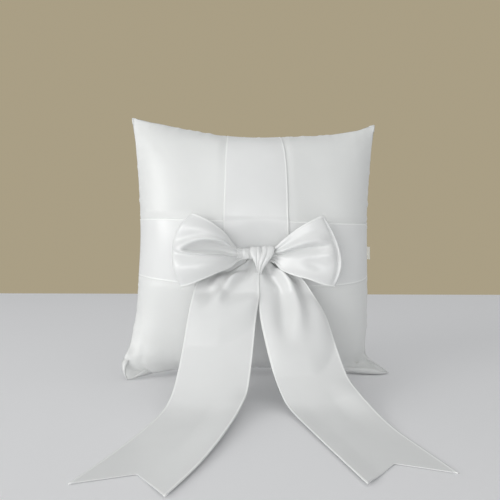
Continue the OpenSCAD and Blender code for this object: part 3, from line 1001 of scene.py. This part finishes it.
def makeKnot():
    w = np.linspace(-1, 1, knot["columns"])[None, :]
    angle, y, z = squashedRing(knot["around"], knot["height"], knot["depth"])
    high = ease(-0.9, 0.75, z / (knot["height"] / 2))
    half = knot["pointHalf"] + (knot["topHalf"] - knot["pointHalf"]) * high
    midX = knot["pointX"] + (knot["midX"] - knot["pointX"]) * high
    x = midX + w * half
    # two pleated strands run to the point, the right-hand one laid over the left
    meet = knot["meetTop"] + (knot["meetPoint"] - knot["meetTop"]) * (1 - high)
    share = np.where(w < meet, (w + 1) / (meet + 1), (w - meet) / (1 - meet))
    split = np.where(w < meet, 0.58, 0.42)  # where each strand's own pleat lies
    inPleat = np.where(share < split, share / split, (share - split) / (1 - split))
    pleat = (4 * inPleat * (1 - inPleat)).clip(0, 1) ** 0.5
    frontOnly = 0.4 + 0.6 * ease(-0.3, 0.5, np.cos(angle))
    over = 1.9 * ease(-0.05, 0.08, w - meet)
    dip = 3.2 * hill(w, meet, 0.15) * ease(0.25, 0.8, np.sin(angle))
    out = (1.2 * pleat + over - dip) * frontOnly + 0.9 * (1 - w**2)
    forward, up = y / (knot["depth"] / 2), z / (knot["height"] / 2)
    ring = np.sqrt(forward**2 + up**2 + 1e-9)
    y = y + forward / ring * out
    z = z + up / ring * out * 0.5
    grid = np.stack([x, y - knot["depth"] / 2, z + knot["midZ"]], axis=2) * mm
    grid[:, :, 1] += backOfKnot
    return grid


def makeStrip():
    share = np.linspace(0, 1, knot["stripColumns"])[None, :]
    angle, y, z = squashedRing(knot["stripAround"], knot["stripHeight"], knot["stripDepth"])
    start, end = knot["stripX"]
    x = start + (end - start) * share + 0 * angle
    gathers = 0.22 * np.sin(15 * share + 1.5 * np.sin(angle * 2)) + 0.10 * np.sin(31 * share + angle)
    waist = 1 - 0.04 * np.sin(math.pi * share) + 0.16 * hill(share, 0, 0.1)
    y = y * waist - gathers * np.cos(angle)
    z = z * waist + 0.4 * gathers * np.sin(angle)
    grid = np.stack([x, y - knot["stripForward"], z + knot["stripZ"]], axis=2) * mm
    grid[:, :, 1] += backOfKnot
    return grid


# each is a ribbon folded narrow, with its flat width and half its map's width in metres
for name, made, flatWidth, mapHalf, cadNode, rests in (
    ("knotWrap", makeKnot(), 0.018, 0.0125, "knot_wrap", ["bowLoopLeft", "bowLoopRight"]),
    ("knotBand", makeStrip(), 0.016, 0.008, "knot_band", ["bowLoopLeft"]),
):
    columns = np.linspace(-mapHalf, mapHalf, made.shape[1])
    middle = made[:, made.shape[1] // 2]
    around = wayAlong(np.concatenate([middle, middle[:1]]))
    piece = clothSheet(name, made, columns, around, knot["thick"] * mm, offset=-1, closed=True)
    register(piece, ribbonSatin, "satin_ribbon", cadNode)
print("knot made")


# threads
def stitchTemplate(length, radius):
    # a short thread with rounded ends along X, drawn as a cylinder whose ends are inset and pushed out
    bpy.ops.object.select_all(action="DESELECT")
    bpy.ops.mesh.primitive_cylinder_add(
        vertices=8, radius=radius, depth=length - radius, rotation=(0, math.pi / 2, 0))
    stitch = bpy.context.object
    bpy.ops.object.transform_apply(location=True, rotation=True, scale=True)
    bpy.ops.object.mode_set(mode="EDIT")
    bpy.ops.mesh.select_mode(type="FACE")
    bpy.ops.mesh.select_all(action="DESELECT")
    bpy.ops.object.mode_set(mode="OBJECT")
    for face in stitch.data.polygons:
        face.select = abs(face.normal.x) > 0.9
    bpy.ops.object.mode_set(mode="EDIT")
    bpy.ops.mesh.inset(thickness=radius * 0.4, depth=radius * 0.3, use_individual=True)
    bpy.ops.object.mode_set(mode="OBJECT")
    shadeSmooth(stitch.data)
    return stitch


def sewAlong(name, length, places):
    # a copy of one stitch at each place, [middle, direction], joined into one piece
    template = stitchTemplate(length * mm, stitches["radius"] * mm)
    copies = []
    for middle, direction in places:
        copy = addObject(name, template.data.copy())
        turn = Vector(direction).to_track_quat("X", "Z").to_matrix().to_4x4()
        turn.translation = Vector(middle)
        copy.data.transform(turn)
        copies.append(copy)
    bpy.ops.object.select_all(action="DESELECT")
    for copy in copies:
        copy.select_set(True)
    bpy.context.view_layer.objects.active = copies[0]
    bpy.ops.object.join()
    piece = bpy.context.object
    piece.name = name
    piece.data.name = name
    bpy.data.objects.remove(template)
    return piece


stitches = {"length": 2.4, "pitch": 3.6, "radius": 0.3, "inset": 0.7}  # mm
closing = {"count": 16, "pitch": 5.0, "length": 2.8, "slant": 0.35, "low": 0.15}  # mm, slant as a share
tack = {"length": 5.0, "across": (-5.5, 2.5), "up": (98, 102), "behind": 0.8}  # mm


def seamLine(points, fromShare, toShare):
    # evenly spaced places along a seam
    run = wayAlong(points)
    count = int((toShare - fromShare) * run[-1] / (stitches["pitch"] * mm))
    places = []
    for k in range(count):
        at = (fromShare + (toShare - fromShare) * (k + 0.5) / count) * run[-1]
        a, b = (np.array([np.interp(at + d, run, line) for line in points.T]) for d in (-mm, mm))
        places.append(((a + b) / 2, b - a))
    return places


def makeSeamStitches():
    # the left, the upper and the right seam, set in a little from the edge
    rim = aboveTable(panelFront)
    left, top, right = rim[:, 0].copy(), rim[-1].copy(), rim[:, -1].copy()
    left[:, 0] += stitches["inset"] * mm
    right[:, 0] -= stitches["inset"] * mm
    top[:, 2] -= stitches["inset"] * mm
    places = seamLine(left, 0.02, 0.985) + seamLine(top, 0.015, 0.985) + seamLine(right, 0.02, 0.985)
    return sewAlong("seamStitches", stitches["length"], places)


def makeClosingStitches():
    # short hand stitches across the lower seam, where the pillow was closed after stuffing
    lower = aboveTable(panelFront)[0]
    places = []
    for k in range(closing["count"]):
        x = (k - (closing["count"] - 1) / 2) * closing["pitch"] * mm
        y, z = (np.interp(x, lower[:, 0], lower[:, axis]) for axis in (1, 2))
        places.append(((x, y, z - closing["low"] * mm), (closing["slant"] * (1 if k % 2 else -1), 1, 0)))
    return sewAlong("closingStitches", closing["length"], places)


def makeTackStitches():
    y = backOfKnot + tack["behind"] * mm
    places = [((knotAt[0] + dx * mm, y, z * mm), (0, 1, 0)) for dx in tack["across"] for z in tack["up"]]
    return sewAlong("bowTackStitches", tack["length"], places)


for piece, cadNode in (
    (makeSeamStitches(), "seam_stitches"),
    (makeClosingStitches(), "closing_stitches"),
    (makeTackStitches(), "bow_tack_stitches"),
):
    register(piece, threadTwist, "sewing_thread", cadNode)
print("threads made")

# a blank label, folded and caught in the right-hand seam
label = {"height": 11.0, "out": 3.2, "caught": 4.0, "middle": 104.5, "thick": 0.3, "curl": 0.5}  # mm


def makeLabel():
    rim = panelFront[:, -1]
    z = label["middle"] + np.linspace(-label["height"] / 2, label["height"] / 2, 15)
    x = np.interp(z * mm, rim[:, 2], rim[:, 0]) / mm
    y = np.interp(z * mm, rim[:, 2], rim[:, 1]) / mm
    # the fold: in along one layer, round the end, back along the other
    inner, outer = -label["caught"], label["out"]
    outline = [(inner, -0.25), (0, -0.3), (outer * 0.5, -0.55), (outer - 0.5, -0.45), (outer, 0.0),
               (outer - 0.5, 0.45), (outer * 0.5, 0.5), (0, 0.3), (inner, 0.25)]
    line = splineAt(np.array(outline), np.linspace(0, len(outline) - 1, 49))
    curl = label["curl"] * np.sin(np.linspace(0, math.pi, 15))
    out, aside = line[:, :1], line[:, 1:]
    grid = np.stack([x + out, y + aside + curl * np.clip(out / outer, 0, 1), z + 0 * out], axis=2) * mm
    return grid, (z - label["middle"]) * mm, wayAlong(line) * mm


labelGrid, labelAcross, labelRun = makeLabel()
sideLabel = clothSheet("sideLabel", labelGrid[::-1], labelAcross, labelRun, label["thick"] * mm)
register(sideLabel, labelTape, "label_tape", "side_label")
print("label made")


# table, light and world
studio = {
    "tableTone": (0.905, 0.905, 0.92),
    "tableSize": (6, 3),  # metres
    "tableBack": 0.72,  # metres, where the table ends behind the pillow
    "wall": (0.40, 0.345, 0.235),
    "air": (0.93, 0.94, 0.94),
    "airPower": 0.55,
    "boxes": [  # name, place, aimed at, size, power, tone
        ("key", (-1.20, -0.80, 0.46), (0, -0.05, 0.08), (0.7, 0.7), 6.4, (1.0, 0.995, 0.98)),
        ("front", (-0.35, -1.50, 0.12), (0, -0.05, 0.06), (1.2, 0.4), 5.6, (1.0, 1.0, 1.0)),
        ("top", (0.1, -0.15, 1.45), (0, -0.1, 0), (1.1, 1.1), 0.8, (1.0, 1.0, 1.0)),
    ],
}


def makeTable():
    bpy.ops.object.select_all(action="DESELECT")
    bpy.ops.mesh.primitive_plane_add(size=1)
    table = bpy.context.object
    table.name = "table"
    wide, deep = studio["tableSize"]
    table.data.transform(Matrix.Diagonal((wide, deep, 1, 1)))
    table.location = (0, studio["tableBack"] - deep / 2, 0)
    material, tree, surface = newMaterial("tableTop")
    place = node(tree, "TexCoord", (-800, 0)).outputs["Object"]
    cloud = node(tree, "TexNoise", (-600, 0), Scale=3.0, Vector=place)
    tone = studio["tableTone"]
    shade = blendOf(tree, (-350, 0), [v * 0.985 for v in tone], tone, cloud.outputs["Fac"])
    feed(tree, surface.inputs["Base Color"], shade)
    feed(tree, surface.inputs["Roughness"], 0.6)
    table.data.materials.append(material)


def softBox(name, place, target, size, power, tone):
    light = addObject(name, bpy.data.lights.new(name, "AREA"))
    light.data.shape = "RECTANGLE"
    light.data.size, light.data.size_y = size
    light.data.energy = power
    light.data.color = tone
    light.location = place
    light.rotation_euler = (Vector(target) - Vector(place)).to_track_quat("-Z", "Y").to_euler()


def makeWorld():
    # the wall's colour behind, and plain pale light from all round
    world = bpy.data.worlds.new("room")
    bpy.context.scene.world = world
    world.use_nodes = True
    tree = world.node_tree
    air = tree.nodes["Background"]
    feed(tree, air.inputs["Color"], (*studio["air"], 1))
    feed(tree, air.inputs["Strength"], studio["airPower"])
    wall = node(tree, "Background", (0, -200), Color=(*studio["wall"], 1), Strength=1.0)
    seen = node(tree, "LightPath", (-200, 300)).outputs["Is Camera Ray"]
    mix = node(tree, "MixShader", (250, 0), takes=(seen, air.outputs[0], wall.outputs[0]))
    feed(tree, tree.nodes["World Output"].inputs["Surface"], mix.outputs[0])


makeTable()
for box in studio["boxes"]:
    softBox(*box)
makeWorld()
bpy.context.scene.view_settings.view_transform = "Standard"
print("stage ready")

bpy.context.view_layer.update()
